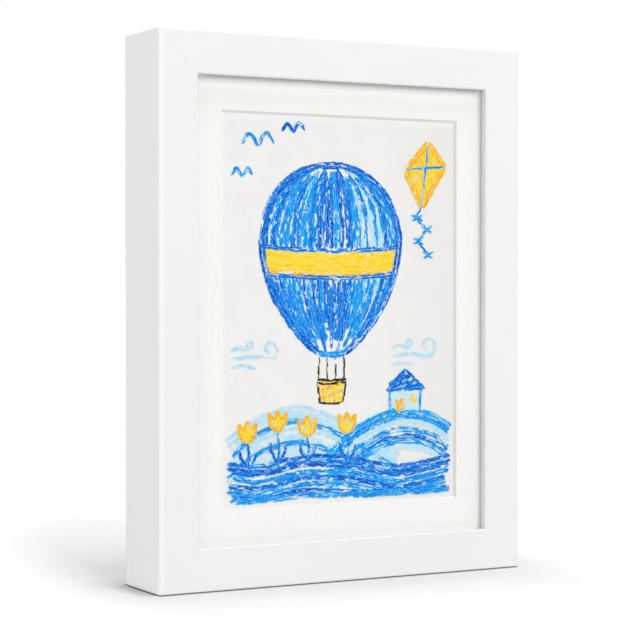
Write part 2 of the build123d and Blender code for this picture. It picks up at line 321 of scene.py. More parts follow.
def mat_board():
    """Toothed off white face paper, with the plain core on the cut bevel, and painted light and shade."""
    material, tree = new_material("off_white_mat_board_with_cut_bevel")
    tooth = pattern(tree, mat_tooth_mm, detail=4.0)
    fibre = pattern(tree, mat_fibre_mm, (1, 1, 0.35))
    relief = add(tree, "Math", fibre, fibre_share, tooth, operation="MULTIPLY_ADD")
    # Face paper, with painted shade under the top moulding and beside the left one, then strips of painted
    # light.
    face = layered(tree, "#F9F7F4", (add(tree, "MapRange", relief, *hollow_span, 0, 1), "#F4F2EF"),
                   (ramp(tree, "Z", sight_top, -painted_shade_under_top_mm, 0), "#D0CECA"),
                   (ramp(tree, "X", sight_left, *painted_shade_left_mm), "#F5F3F0"))
    for axis, edge, start, full, hold, gone in painted_light_strips:
        strip = product(tree, ramp(tree, axis, edge, start, full), ramp(tree, axis, edge, gone, hold))
        face = layered(tree, face, (strip, "#FFFEFB"))
    # Bevel core, with painted shade on the top, right and bottom bevels.
    both_ways = add(tree, "Math", leaning(tree, "X"), leaning(tree, "Z"), operation="ADD")
    painted_bevel_shade = add(tree, "MapRange", both_ways, *top_right_lean, 0, 1)
    core_with_painted_shade = layered(tree, "#F5F3EF", (painted_bevel_shade, "#E6E4E0"), (facing(tree, "Z", *bottom_lean), "#EEECE8"))
    forward = add(tree, "Math", leaning(tree, "Y"), operation="ABSOLUTE")
    colour = layered(tree, face, (add(tree, "MapRange", forward, *bevel_lean, 0, 1), core_with_painted_shade))
    for axis, edge, start, full, rise in relief_leans:
        slope = ramp(tree, axis, edge, start, full)
        relief = add(tree, "Math", slope, rise, relief, operation="MULTIPLY_ADD")
    return finish_surface(material, colour, tooth, (0.82, 0.95), relief, 0.035, {"IOR": 1.45})


board = mat_board()

# %% [markdown]
# The drawing is on cartridge paper: neutral, a shade darker than the mat, with a coarse tooth that the
# crayon catches on and a fibre mottle. Light and shade are painted on it by place, as on the mat: painted
# shade makes it darker towards the right, and painted light keeps it no darker under the mat's top edge
# than below. Gummed tape, grey card, fibreboard and vulcanised fibre follow the shared recipe with their
# own colours and grain.

# %% Papers and boards
covered_top_mm = 6.7
painted_light_strip_mm = 4.5
painted_shade_side_mm = (15, 68)
painted_shade_share = 0.55
window_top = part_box("drawing_sheet")[1].z - covered_top_mm * mm
pulp = {"IOR": 1.45}


def paper_painted_light_and_shade(tree):
    """Painted shade towards the right moulding, and painted light close under the mat's top edge."""
    dull = product(tree, ramp(tree, "X", 0, *painted_shade_side_mm), painted_shade_share)
    return (dull, "#E5E4E2"), (ramp(tree, "Z", window_top, -painted_light_strip_mm, 0), "#F7F6F4")


cartridge_paper = surface("white_cartridge_paper", "#F2F1EF", "#EDECEA", 0.6, 14, (0.85, 0.97), 0.05, pulp,
                          painted_shades=paper_painted_light_and_shade)
gummed_tape = surface("cream_gummed_paper_tape", "#EDE6D2", "#E2D9C0", 0.5, 6, (0.6, 0.75), 0.02, pulp)
grey_card = surface("recycled_grey_card", "#A9A59D", "#8F8B83", 0.7, 5, (0.85, 0.95), 0.04, pulp)
fibreboard = surface("sanded_fibreboard", "#CDB694", "#B79C77", 0.5, 4, (0.7, 0.85), 0.03, pulp, (1, 0.4, 1))
red_fibre = surface("red_vulcanised_fibre", "#8E2F22", "#74241A", 0.3, 2, (0.5, 0.65), 0.01, {"IOR": 1.5})

# %% [markdown]
# Hardboard is pressed wood pulp: an even brown ground with short fibres lying every way. Two patterns are
# drawn out across each other, one for the darker fibres and one for the paler, so it has its own recipe.

# %% Hardboard
pulp_cloud_mm = 8
short_fibre_mm = 0.9
dark_span, dark_share = (0.52, 0.7), 0.7
pale_span, pale_share = (0.54, 0.7), 0.5


def brown_hardboard():
    """Pressed wood pulp: an even ground with dark fibres and pale ones."""
    material, tree = new_material("smooth_brown_hardboard")
    cloud = add(tree, "MapRange", pattern(tree, pulp_cloud_mm), *noise_span, 0, 1)
    upright = pattern(tree, short_fibre_mm, (1, 1, 0.3), detail=1.5)
    level = pattern(tree, short_fibre_mm, (0.3, 1, 1), detail=1.5)
    dark = add(tree, "MapRange", upright, *dark_span, 0, dark_share)
    pale = add(tree, "MapRange", level, *pale_span, 0, pale_share)
    colour = layered(tree, "#94714B", (cloud, "#8A6741"), (dark, "#6B4C2D"), (pale, "#B08E68"))
    return finish_surface(material, colour, upright, (0.42, 0.6), level, 0.03, {"IOR": 1.5})


hardboard = brown_hardboard()

# %% [markdown]
# The turn buttons, screws and hangers are pressed steel with bright zinc plating. Zinc is a cool light
# grey metal with faint milky clouds and fine rubbing marks along the strip that it was stamped from. The
# rivets are softer, whiter aluminium, and the corner nails are bare blued strip.

# %% Metals
metal = {"Metallic": 1.0}
zinc = surface("bright_zinc_plated_steel", "#D3D6D8", "#B4B8BB", 0.35, 5, (0.24, 0.38), 0.006, metal,
               (1, 1, 0.3))
screw_zinc = surface("zinc_plated_screw_steel", "#C9CCCC", "#A2A6A8", 0.25, 3, (0.22, 0.36), 0.008, metal)
aluminium = surface("soft_aluminium_rivet", "#E2E3E4", "#C9CBCD", 0.3, 3, (0.3, 0.42), 0.006, metal)
nail_strip = surface("blued_steel_strip", "#6F7276", "#54575C", 0.25, 2, (0.35, 0.5), 0.006, metal)

# %% [markdown]
# The wall bumpers are soft clear polyurethane. Moulded domes of it look milky, because light scatters a
# little inside: part of it passes and the rest is spread.

# %% Bumpers
milky = {"IOR": 1.5, "Transmission Weight": 0.2, "Subsurface Weight": 0.4, "Subsurface Scale": 0.002}
soft_clear = surface("frosted_polyurethane", "#F2F2EE", "#E9E9E4", 0.6, 3, (0.3, 0.42), 0.01, milky)

# %% [markdown]
# The pane is clear acrylic, 1.5 mm thick. Plain acrylic has an IOR of 1.49, and each face mirrors about a
# twenty-fifth of the room, which would lay a pale veil over the crayon. No veil shows, as on a pane that
# is coated against glare, so the IOR is brought down to what such a coating leaves. Light has to reach
# the sheet behind it, so shadow and diffuse rays go straight through. Its faces are drawn in by a hair,
# so that they don't lie in one plane with the mat's.

# %% Clear acrylic
coated_ior = 1.06
dust_mm = 0.8
dust_span, dust_rough = (0.55, 0.8), 0.012
pane_inset_mm = 0.02


def clear_acrylic():
    """A polished pane that lets light reach what it covers."""
    material, tree = new_material("clear_acrylic_coated_against_glare")
    dust = add(tree, "MapRange", pattern(tree, dust_mm), *dust_span, 0, dust_rough)
    values = {"Base Color": "#FFFFFF", "IOR": coated_ior, "Transmission Weight": 1.0, "Roughness": dust}
    pane = add(tree, "BsdfPrincipled", named=values)
    path = add(tree, "LightPath").outputs
    through = add(tree, "Math", path["Is Shadow Ray"], path["Is Diffuse Ray"], operation="MAXIMUM")
    both = add(tree, "MixShader", through, pane, add(tree, "BsdfTransparent"))
    add(tree, "OutputMaterial", both)
    return material


acrylic = clear_acrylic()
inset = nodes["glazing_pane"].modifiers.new("clear_of_the_mat", "DISPLACE")
inset.strength = -pane_inset_mm * mm
inset.mid_level = 0

# %% [markdown]
# Each built piece names its material slot in the record. The finishes are handed out by that name, so a
# piece that is added to the record gets its finish without a line of its own here.

# %% Hand out the finishes
finishes = {
    "white_lacquered_wood": lacquer,
    "nail_steel": nail_strip,
    "clear_acrylic": acrylic,
    "mat_board": board,
    "drawing_paper": cartridge_paper,
    "paper_tape": gummed_tape,
    "grey_card": grey_card,
    "spacer_fibreboard": fibreboard,
    "back_hardboard": hardboard,
    "button_steel": zinc,
    "screw_steel": screw_zinc,
    "fibre_washer": red_fibre,
    "hanger_steel": zinc,
    "rivet_aluminium": aluminium,
    "soft_bumper": soft_clear,
}
for entry in frame["record"]["subparts"]:
    for place in nodes[entry["node"]].material_slots:
        place.material = finishes[entry["material_slot"]]
print("finishes", len(finishes))

# %% [markdown]
# The drawing is made of wax crayon lines. A crayon touches only the high points of the paper, so a line
# is a bundle of narrow tracks of wax with slits of bare paper between them, and its edges are ragged. A
# painted texture would look flat close up. Here every line is real geometry, a film of wax laid on the
# sheet and left open where the crayon skipped. The sizes are a real crayon's: a blunt tip of 2 to 3 mm,
# and tracks of half a millimetre, as wide as the tooth of the paper.
#
# Wax on paper is dull. It takes two tones, light where the hand was light and deep where it pressed, and
# it thins to a clearer film at the edges of a mark. Streaks run along the line. So every point keeps
# three measures: its way along the line, its place across, and how much of the wax round it is missing.

# %% Crayon colours
wax_tones = {
    "royal_blue": ("#0CA2F8", "#007CE2", "#0040BC"),
    "azure": ("#2CC0FF", "#00A2F4", "#0076DC"),
    "sky_blue": ("#D2F0FC", "#C2EAFA", "#8ACEF2"),
    "yellow": ("#FFE756", "#FFDC24", "#F9C700"),
    "orange": ("#FFD444", "#FCBE0A", "#F3A600"),
    "black": ("#4A4849", "#353334", "#121112"),
}
streaks_per_mm = (0.3, 2.2, 0)
streak_detail = 2.0
tooth_mm = 0.5
tone_sway = 0.35
worn_span, worn_share = (0.35, 0.46), 0.8
edge_span, edge_share = (0.05, 0.5), 0.9
slit_span, slit_share = (0.3, 0.42), 0.45
speck_span, speck_share = (0.6, 0.72), 0.2


def wax(name):
    """Wax crayon: two tones by pressure, a thinner film at the edges, slits and specks of paper."""
    thin, light, dark = wax_tones[name]
    material, tree = new_material("wax_crayon_" + name)
    pressed = add(tree, "Attribute", attribute_name="pressure").outputs["Fac"]
    measures = add(tree, "Attribute", attribute_name="stroke").outputs["Vector"]
    missing = add(tree, "SeparateXYZ", measures).outputs["Z"]
    scaled = add(tree, "VectorMath", measures, streaks_per_mm, operation="MULTIPLY")
    streak = add(tree, "TexNoise", scaled, 1.0, streak_detail)
    tooth = pattern(tree, tooth_mm, detail=1.0)
    uneven = add(tree, "MapRange", streak, *noise_span, -tone_sway, tone_sway)
    tone = add(tree, "Math", uneven, pressed, operation="ADD", use_clamp=True)
    worn = add(tree, "MapRange", streak, *worn_span, worn_share, 0)
    at_edge = add(tree, "MapRange", missing, *edge_span, 0, edge_share)
    film = add(tree, "Math", worn, at_edge, operation="MAXIMUM")
    slit = add(tree, "MapRange", streak, *slit_span, slit_share, 0)
    speck = add(tree, "MapRange", tooth, *speck_span, 0, speck_share)
    bare = add(tree, "Math", slit, speck, operation="MAXIMUM")
    colour = layered(tree, light, (tone, dark), (film, thin), (bare, "#EEEDEC"))
    dull = {"IOR": 1.44, "Specular IOR Level": 0.02}
    return finish_surface(material, colour, tooth, (0.6, 0.75), streak, 0.02, dull)


# %% [markdown]
# A line is drawn from a few given points. They are joined by a smooth curve, which is cut into
# even steps and then shaken a little, because a child's hand is.

# %% The way of an unsteady hand
hand = random.Random(11)
step_mm = 0.8
drift_kept, drift_gained = 0.8, 0.6


def even_steps(points):
    """Points about a step apart on a smooth curve through the given points."""
    given = [Vector(point) for point in points]
    given = [2 * given[0] - given[1]] + given + [2 * given[-1] - given[-2]]
    curve = []
    for a, b, c, d in zip(given, given[1:], given[2:], given[3:]):
        count = max(1, round((c - b).length / step_mm))
        for i in range(count):
            t = i / count
            bend = (2 * a - 5 * b + 4 * c - d) * t * t + (3 * b - a - 3 * c + d) * t ** 3
            curve.append(0.5 * (2 * b + (c - a) * t + bend))
    return curve + [given[-2]]


def shaken(path, wobble):
    """The path as an unsteady hand follows it, and the direction across it at every point."""
    drift = Vector((0, 0))
    moved = []
    for point in path:
        drift = drift_kept * drift + drift_gained * Vector((hand.gauss(0, wobble), hand.gauss(0, wobble)))
        moved.append(point + drift)
    sides = []
    for before, after in zip(moved[:1] + moved, moved[1:] + moved[-1:]):
        along = (after - before).normalized()
        sides.append(Vector((-along.y, along.x)))
    return moved, sides


# %% [markdown]
# Across each step of a line lie the edges of the crayon's tracks. Pressure sets how far a track runs
# before the crayon skips. Wax builds up as the drawing goes on: each step lies a hair higher than the one
# before, so later lines cover earlier ones.

# %% Laying down one crayon line
track_mm = 0.5
first_lift_mm = 0.02
lift_step_mm = 0.00002
reach_mm = (65.8, 96.5)
shortest_run, run_by_pressure = 5, 24
shortest_skip, skip_by_lightness = 2.5, 4
edge_run_loss, edge_gap_chance = 0.7, 0.6
streak_start_mm = 900
tone_below_pressure, tone_spread = 0.3, 0.15
tone_drift, tone_return = 0.06, 0.08
narrow_end, widening = 0.5, 0.25
ragged_inside_mm, ragged_edge_mm = 0.05, 0.2
wax_marks = {name: {"points": [], "faces": [], "pressure": [], "stroke": []} for name in wax_tones}
steps_drawn = 0
sheet_low, sheet_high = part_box("drawing_sheet")
sheet_middle = (sheet_low + sheet_high) / 2


def touched(steps, tracks, pressure):
    """Where the crayon leaves wax: a row of true and false for each track."""
    rows = []
    for track in range(tracks):
        edge = abs(2 * (track + 0.5) / tracks - 1)
        run = (shortest_run + run_by_pressure * pressure) * (1 - edge_run_loss * edge ** 2)
        skip = shortest_skip + skip_by_lightness * (1 - pressure)
        row, on = [], hand.random() > edge_gap_chance * edge
        while len(row) < steps:
            row += [on] * (1 + int(hand.expovariate(1 / (run if on else skip))))
            on = not on
        rows.append(row)
    return rows


def missing_round(rows, i, j):
    """How much of the wax round a point is missing: none inside a mark, half at its edge."""
    near = [rows[k][n] for k in (j - 1, j) if 0 <= k < len(rows) for n in (i - 1, i) if 0 <= n < len(rows[k])]
    return 1 - sum(near) / 4


def line(colour, points, width=2.4, pressure=0.8, wobble=0.18, beside=0.0):
    """One crayon line through the points, given in millimetres from the middle of the sheet."""
    global steps_drawn
    path, sides = shaken(even_steps(points), wobble)
    tracks = max(2, round(width / track_mm))
    rows = touched(len(path), tracks, pressure)
    marks = wax_marks[colour]
    first = len(marks["points"])
    start = hand.uniform(0, streak_start_mm)
    usual_tone = pressure - tone_below_pressure
    tone = hand.gauss(usual_tone, tone_spread)
    for i, (point, side) in enumerate(zip(path, sides)):
        tone += hand.gauss(0, tone_drift) + tone_return * (usual_tone - tone)
        taper = min(1, narrow_end + widening * min(i, len(path) - 1 - i))
        depth = sheet_low.y - (first_lift_mm + (steps_drawn + i) * lift_step_mm) * mm
        for j in range(tracks + 1):
            loose = ragged_inside_mm if 0 < j < tracks else ragged_edge_mm
            across = beside + (j / tracks - 0.5) * width * taper + hand.uniform(-loose, loose)
            x, up = point + side * across
            marks["points"].append((sheet_middle.x + x * mm, depth, sheet_middle.z + up * mm))
            marks["pressure"].append(tone)
            marks["stroke"].append((start + i * step_mm, across, missing_round(rows, i, j)))
        for j, row in enumerate(rows):
            if i and row[i - 1] and abs(point.x) < reach_mm[0] and abs(point.y) < reach_mm[1]:
                corner = first + (i - 1) * (tracks + 1) + j
                above = corner + tracks + 1
                marks["faces"].append((corner, above, above + 1, corner + 1))
    steps_drawn += len(path)


# %% [markdown]
# Children fill a shape in two ways: lines that follow its form from end to end, or one long zigzag
# across it. The first function here does the one, between two outlines. The second does the other, by
# level lines joined by turns. A third goes round an outline twice, which gives the doubled, slightly
# missed edge of a crayon drawing.

# %% Filling and outlining shapes
main_colour_chance = 0.78
off_place = 0.2
narrow_room = (0.25, 0.6)
uneven_width = (0.85, 1.15)
uneven_pressure = (-0.15, 0.1)
turn_inset, turn_lean, turn_miss_mm = 0.4, 0.25, 0.5


def follow_form(colours, first, second, spacing=2.1, width=2.3, pressure=0.8):
    """Lines from one end of a shape to the other, spread between its two outlines."""
    gaps = [(Vector(a) - Vector(b)).length for a, b in zip(first, second)]
    count = max(1, round(max(gaps) / spacing))
    for number in range(count):
        share = (number + 0.5 + hand.uniform(-off_place, off_place)) / count
        room = [gap / count for gap in gaps]
        used = [i for i, gap in enumerate(room) if gap > hand.uniform(*narrow_room) * spacing]
        if len(used) < 2:
            continue
        points = [Vector(first[i]).lerp(Vector(second[i]), share) for i in range(used[0], used[-1] + 1)]
        colour = colours[0] if hand.random() < main_colour_chance else colours[-1]
        line(colour, points, width * hand.uniform(*uneven_width), pressure + hand.uniform(*uneven_pressure))


def zigzag(colour, outline, angle, spacing=2.0, width=2.2, pressure=0.75):
    """One back and forth line across a shape, at an angle in degrees."""
    turn = math.radians(angle)
    across = Vector((math.cos(turn), math.sin(turn)))
    up = Vector((-math.sin(turn), math.cos(turn)))
    corners = [(Vector(p).dot(across), Vector(p).dot(up)) for p in outline]
    level = min(v for _, v in corners) + spacing / 2
    top = max(v for _, v in corners)
    run, forward = [], True
    while level < top:
        hits = []
        for (u0, v0), (u1, v1) in zip(corners, corners[1:] + corners[:1]):
            if (v0 <= level) != (v1 <= level):
                hits.append(u0 + (u1 - u0) * (level - v0) / (v1 - v0))
        if len(hits) >= 2:
            ends = [min(hits) + width * turn_inset, max(hits) - width * turn_inset]
            if ends[1] > ends[0]:
                ends = ends if forward else ends[::-1]
                for end, lean in zip(ends, (-turn_lean, turn_lean)):
                    missed = end + hand.uniform(-turn_miss_mm, turn_miss_mm)
                    run.append(across * missed + up * (level + spacing * lean))
                forward = not forward
        level += spacing * hand.uniform(*uneven_width)
    if len(run) > 1:
        line(colour, run, width, pressure, wobble=0.1)


def outline_twice(colour, points, width=1.1, pressure=0.9, apart=0.4):
    """The edge of a shape, gone over a second time just beside the first."""
    for side in (-1, 1):
        beside = side * (width / 2 + hand.uniform(0, apart) / 2)
        line(colour, points, width, pressure - hand.uniform(0, 0.15), 0.14, beside)


# %% [markdown]
# The big motif is a hot air balloon, drawn as a child would: a pear-shaped envelope of five gores with a
# yellow band. Its half width follows one formula from the crown to the mouth, and each gore is that curve
# narrowed by a share, as the meridians of a globe look from the side.

# %% The balloon
balloon_middle = (-6, 24)
balloon_half_width = 47
balloon_half_height = 50
gore_shares = (-1, -0.8, -0.3, 0.3, 0.8, 1)
gore_colours = (("royal_blue", "azure"), ("azure", "royal_blue"), ("royal_blue", "azure"),
                ("azure", "sky_blue"), ("royal_blue", "azure"))
mouth_angle = 156
band_angles = (80, 96)
mouth_narrowing, seam_sag = 0.55, 2.2


def meridian(share, angle):
    """A point on one meridian of the envelope, at an angle down from the crown, in degrees."""
    a = math.radians(angle)
    half = balloon_half_width * math.sin(a) * math.cos(a / 2) ** mouth_narrowing
    sag = seam_sag * math.sin(a) * (1 - share * share)
    return (balloon_middle[0] + share * half, balloon_middle[1] + balloon_half_height * math.cos(a) - sag)


def meridian_run(share, start, end, step=8):
    """A stretch of one meridian."""
    count = max(2, round(abs(end - start) / step))
    return [meridian(share, start + (end - start) * i / count) for i in range(count + 1)]


def draw_envelope():
    """Gores filled from crown to mouth but for the band, then the band and the seams."""
    for left, right, colours in zip(gore_shares, gore_shares[1:], gore_colours):
        for start, end in ((3, band_angles[0] - 1), (band_angles[1] + 1, mouth_angle)):
            follow_form(colours, meridian_run(left, start, end), meridian_run(right, start, end))
        for start, end in ((10, 60), (104, 140)):
            follow_form(("royal_blue",), meridian_run(left, start, end), meridian_run(right, start, end),
                        spacing=6.5, width=1.6, pressure=0.55)
    middle = sum(band_angles) / 2
    shares = [i / 20 - 1 for i in range(41)]
    upper, lower = ([meridian(s, angle) for s in shares] for angle in band_angles)
    teeth = [meridian(s, middle + (5 if i % 2 else -5)) for i, s in enumerate(shares)]
    line("yellow", teeth, 2.6, 0.85, wobble=0.08)
    follow_form(("yellow", "orange"), upper, lower, spacing=2.2, width=2.4, pressure=0.75)
    for share in gore_shares[1:-1]:
        for start, end in ((6, band_angles[0]), (band_angles[1], mouth_angle)):
            line("royal_blue", meridian_run(share, start, end), 1.3, 0.95)
    for edge in (upper, lower):
        outline_twice("royal_blue", edge, 1.2, 0.85, 0.25)
    whole = meridian_run(-1, mouth_angle, 0) + meridian_run(1, 0, mouth_angle)[1:]
    outline_twice("royal_blue", whole, 1.8, 0.95, 0.45)
    outline_twice("azure", [meridian(share, mouth_angle) for share in (-1, 0, 1)], 1.6)


draw_envelope()
print("balloon steps", steps_drawn)

# %% [markdown]
# Four ropes hang from the mouth and hold the basket. It is filled twice, crosswise, so that it looks woven.

# %% The basket
def draw_basket():
    """Four ropes from the mouth, and a woven basket."""
    mouth = [meridian(s, mouth_angle) for s in (-0.9, -0.3, 0.3, 0.9)]
    top = mouth[0][1] - 14
    bottom = top - 11
    middle = balloon_middle[0]
    ends = (middle - 7.5, middle - 2.5, middle + 2.5, middle + 7.5)
    corners = [(middle - 8, top), (middle + 8, top), (middle + 6.2, bottom), (middle - 6.2, bottom)]
    zigzag("orange", corners, 8, 1.9, 2.0, 0.8)
    zigzag("yellow", corners, 96, 2.6, 1.6, 0.6)
    for (x, y), end in zip(mouth, ends):
        line("black", [(x, y - 1), ((x + end) / 2, (y + top) / 2), (end, top)], 1.0, 0.85, wobble=0.08)
    outline_twice("black", [(middle - 8.6, top), (middle, top - 0.6), (middle + 8.6, top)], 1.4, 0.95, 0.3)
    rim = [corners[0], (middle - 7, bottom + 2), corners[3], (middle, bottom - 0.7), corners[2],
           (middle + 7, bottom + 2), corners[1]]
    line("black", rim, 1.1, 0.8)


draw_basket()
print("with the basket", steps_drawn)

# %% [markdown]
# Small things fill the sky, in the same few crayons: a yellow kite with a tail of bows, three birds, and
# curls of wind in the palest blue.

# %% Kite, birds and wind
def straight_sides(corners):
    """Each side of a closed shape: its two ends, and the middle between them."""
    ends = zip(corners, corners[1:] + corners[:1])
    return [(start, Vector(start).lerp(Vector(end), 0.5), end) for start, end in ends]


def draw_kite(x, y):
    """A kite with a cross of sticks and a tail."""
    corners = [(x + 2, y + 17), (x + 12, y + 5), (x - 2, y - 16), (x - 12, y + 3)]
    top, right, bottom, left = corners
    zigzag("yellow", corners, 62, 1.9, 2.4, 0.85)
    zigzag("orange", corners, 118, 4.6, 1.8, 0.5)
    for side in straight_sides(corners):
        outline_twice("orange", side, 1.7, 0.9, 0.4)
    line("azure", [top, (x, y), bottom], 1.3, 0.8)
    line("azure", [left, (x, y + 4), right], 1.3, 0.8)
    tail = [bottom, (x - 5, y - 22), (x + 1, y - 28), (x - 4, y - 34), (x + 2, y - 41)]
    line("royal_blue", tail, 1.1, 0.85)
    for bow_x, bow_y in tail[1:]:
        for side, up, down in ((-1, 1.6, 1.8), (1, 1.8, 1.5)):
            loop = [(bow_x + side * 3.2, bow_y + up), (bow_x, bow_y), (bow_x + side * 3, bow_y - down)]
            line("azure", loop, 1.5, 0.9)


def draw_bird(x, y, size, colour):
    """Two arched wings."""
    left = [(x - size, y - size * 0.1), (x - size * 0.5, y + size * 0.5), (x, y - size * 0.2)]
    right = [(x, y - size * 0.2), (x + size * 0.5, y + size * 0.56), (x + size, y)]
    for wing in (left, right):
        line(colour, wing, 1.9, 0.9, wobble=0.1)


def draw_wind(x, y, length, radius):
    """Long lines of wind that roll up into curls."""
    for number, (shift, share) in enumerate(((0, 1), (-4.5, 0.62), (4.5, 0.45))):
        run, turn = length * share, radius * (1 - 0.25 * number)
        curl = [(x, y + shift), (x + run * 0.5, y + shift + 1.3), (x + run, y + shift)]
        for i in range(1, 9):
            a = math.radians(-90 + i * 45)
            r = turn * (1 - i * 0.08)
            curl.append((x + run + r * math.cos(a), y + shift + turn + r * math.sin(a)))
        line("sky_blue", curl if number != 1 else curl[:3], 1.9, 0.6)


draw_kite(50, 70)
draw_bird(-48, 84, 9, "azure")
draw_bird(-28, 91, 6.5, "royal_blue")
draw_bird(-57, 68, 6, "azure")
for x in (-63, 30):
    draw_wind(x, -24, 22, 5)
print("with the sky", steps_drawn)

# %% [markdown]
# Three hills lie along the bottom, each filled with lines that follow its crest, pale ones behind and
# darker ones in front. On them stand a small house and a row of tulips.

# %% Hills, house and tulips
paper_edge = 65.5
lowest = -94.5


def draw_hill(colours, points, drops, pressure):
    """Lines that repeat the crest further down, each with its own ends, then the crest itself."""
    for i, drop in enumerate(drops):
        shifted = [(x, max(y - drop, lowest) + hand.uniform(-0.6, 0.6)) for x, y in points]
        shifted[0] = (shifted[0][0] + hand.uniform(0, 3.5), shifted[0][1])
        shifted[-1] = (shifted[-1][0] - hand.uniform(0, 3.5), shifted[-1][1])
        line(colours[i % len(colours)], shifted, 3.0, pressure - 0.02 * i)
    outline_twice(colours[0], points, 2.2, pressure + 0.15, 0.5)


def draw_tulip(x, y, height):
    """A stem, two leaves and a cup of three petals."""
    line("royal_blue", [(x, y), (x + 0.8, y + height * 0.5), (x, y + height)], 1.6, 0.95)
    line("royal_blue", [(x, y + 1), (x - 3.4, y + height * 0.4), (x - 4.2, y + height * 0.7)], 1.9, 0.9)
    line("royal_blue", [(x, y), (x + 3.4, y + height * 0.34), (x + 4.6, y + height * 0.6)], 1.9, 0.9)
    top = y + height
    cup = [(x, top), (x + 4, top + 3), (x + 4.8, top + 9.5), (x + 2.2, top + 6.6), (x, top + 10.5),
           (x - 2.2, top + 6.6), (x - 4.8, top + 9.5), (x - 4, top + 3), (x, top)]
    zigzag("yellow", cup, 84, 1.8, 2.2, 0.95)
    line("orange", cup, 1.5, 0.95, wobble=0.06)


def draw_house(x, y):
    """Walls, a dark roof, a door and a window."""
    wall = [(x - 9, y), (x - 9, y + 12), (x + 9, y + 12), (x + 9, y)]
    roof = [(x - 11.5, y + 12), (x, y + 22), (x + 11.5, y + 12)]
    zigzag("sky_blue", wall, 4, 2.3, 2.2, 0.5)
    zigzag("royal_blue", roof, 28, 1.8, 2.2, 0.85)
    for side in straight_sides(wall):
        line("azure", side, 1.5, 0.9)
    for side in straight_sides(roof):
        line("royal_blue", side, 1.6, 0.95)
    zigzag("orange", [(x - 5.5, y), (x - 5.5, y + 7.5), (x - 1, y + 7.5), (x - 1, y)], 90, 1.5, 1.6, 0.85)
    window = [(x + 2.6, y + 4.5), (x + 2.6, y + 8.5), (x + 6.4, y + 8.5), (x + 6.4, y + 4.5)]
    zigzag("yellow", window, 0, 1.4, 1.5, 0.85)


back_hill = [(-paper_edge, -66), (-48, -55), (-26, -50), (-4, -56), (16, -67), (34, -76)]
right_hill = [(-10, -76), (10, -61), (32, -53), (52, -55), (paper_edge, -62)]
front_hill = [(-paper_edge, -77), (-46, -79), (-22, -75), (6, -77), (34, -82), (paper_edge, -78)]
draw_hill(("sky_blue", "azure", "sky_blue"), back_hill, (3.2, 6.4, 9.6, 13, 16.4, 20, 23), 0.6)
draw_hill(("azure", "sky_blue", "azure", "royal_blue"), right_hill, (3.2, 6.2, 9.4, 12.6, 15.8, 19), 0.7)
draw_house(38, -53)
draw_hill(("royal_blue", "azure"), front_hill, (3.2, 6.4, 9.6, 12.8, 15.8, 18.6), 0.8)
for x, y, height in ((-54, -79, 13), (-37, -78, 17), (-20, -76, 12), (3, -78, 15)):
    draw_tulip(x, y, height)
print("all steps", steps_drawn)

# %% [markdown]
# The marks become one piece for each crayon, riding on the frame. Points that no wax touches are left
# out. Every point keeps its pressure and its three measures, which the wax material reads.

# %% Make the crayon pieces
for name, marks in wax_marks.items():
    used = sorted({i for face in marks["faces"] for i in face})
    place = {old: new for new, old in enumerate(used)}
    mesh = bpy.data.meshes.new("crayon_" + name)
    mesh.from_pydata([marks["points"][i] for i in used], [],
                     [tuple(place[i] for i in face) for face in marks["faces"]])
    pressures = mesh.attributes.new("pressure", "FLOAT", "POINT").data
    pressures.foreach_set("value", [marks["pressure"][i] for i in used])
    strokes = mesh.attributes.new("stroke", "FLOAT_VECTOR", "POINT").data
    strokes.foreach_set("vector", [value for i in used for value in marks["stroke"][i]])
    mesh.materials.append(wax(name))
    piece = new_object("crayon_" + name, mesh)
    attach(piece, "root")
    print(piece.name, len(marks["faces"]), "faces")

# %% [markdown]
# The photograph has a seamless white ground that keeps a soft shadow. A lamp bright enough to burn the
# floor white would also burn the frame, so further out the floor itself turns to plain white, like the
# world behind it, and no horizon shows. How far the paint reaches is measured from the frame's footprint,
# by its own rate beside, in front and behind, and it stays inside a long oval.

# %% Where the floor turns to plain white
footprint = (half_width, high_corner.y, 0)
fade_rates = (3.6, 1.1, 0.42)
fade_reach = (0.025, 0.14)
oval_shift = (0, 0.172, 0)
oval_scale = (1 / 0.1545, 1 / 0.488, 0)
oval_reach = (0.8, 1.02)
front_change = 0.001


def rates_at(tree, depth, beside, front, behind):
    """How fast a shade fades beside the frame, in front of it and behind it."""
    rate = add(tree, "MapRange", depth, -front_change, front_change, front, behind)
    return add(tree, "CombineXYZ", beside, rate)


def outside_of(tree, shift, half):
    """How far a point of the floor lies outside a footprint, along each axis."""
    place = add(tree, "VectorMath", add(tree, "TexCoord").outputs["Object"], shift, operation="ADD")
    size = add(tree, "VectorMath", place, operation="ABSOLUTE")
    beyond = add(tree, "VectorMath", size, half, operation="SUBTRACT")
    return add(tree, "VectorMath", beyond, (0, 0, 0), operation="MAXIMUM")


def plain_white(tree, outside, depth):
    """Zero near the frame, and one where the floor is plain white."""
    weighed = add(tree, "VectorMath", outside, rates_at(tree, depth, *fade_rates), operation="DOT_PRODUCT")
    straight = add(tree, "MapRange", weighed, *fade_reach, 0, 1)
    oval = add(tree, "VectorMath", add(tree, "TexCoord").outputs["Object"], oval_shift, operation="ADD")
    oval = add(tree, "VectorMath", oval, oval_scale, operation="MULTIPLY")
    oval = add(tree, "MapRange", add(tree, "VectorMath", oval, operation="LENGTH"), *oval_reach, 0, 1)
    return add(tree, "Math", straight, oval, operation="MAXIMUM")
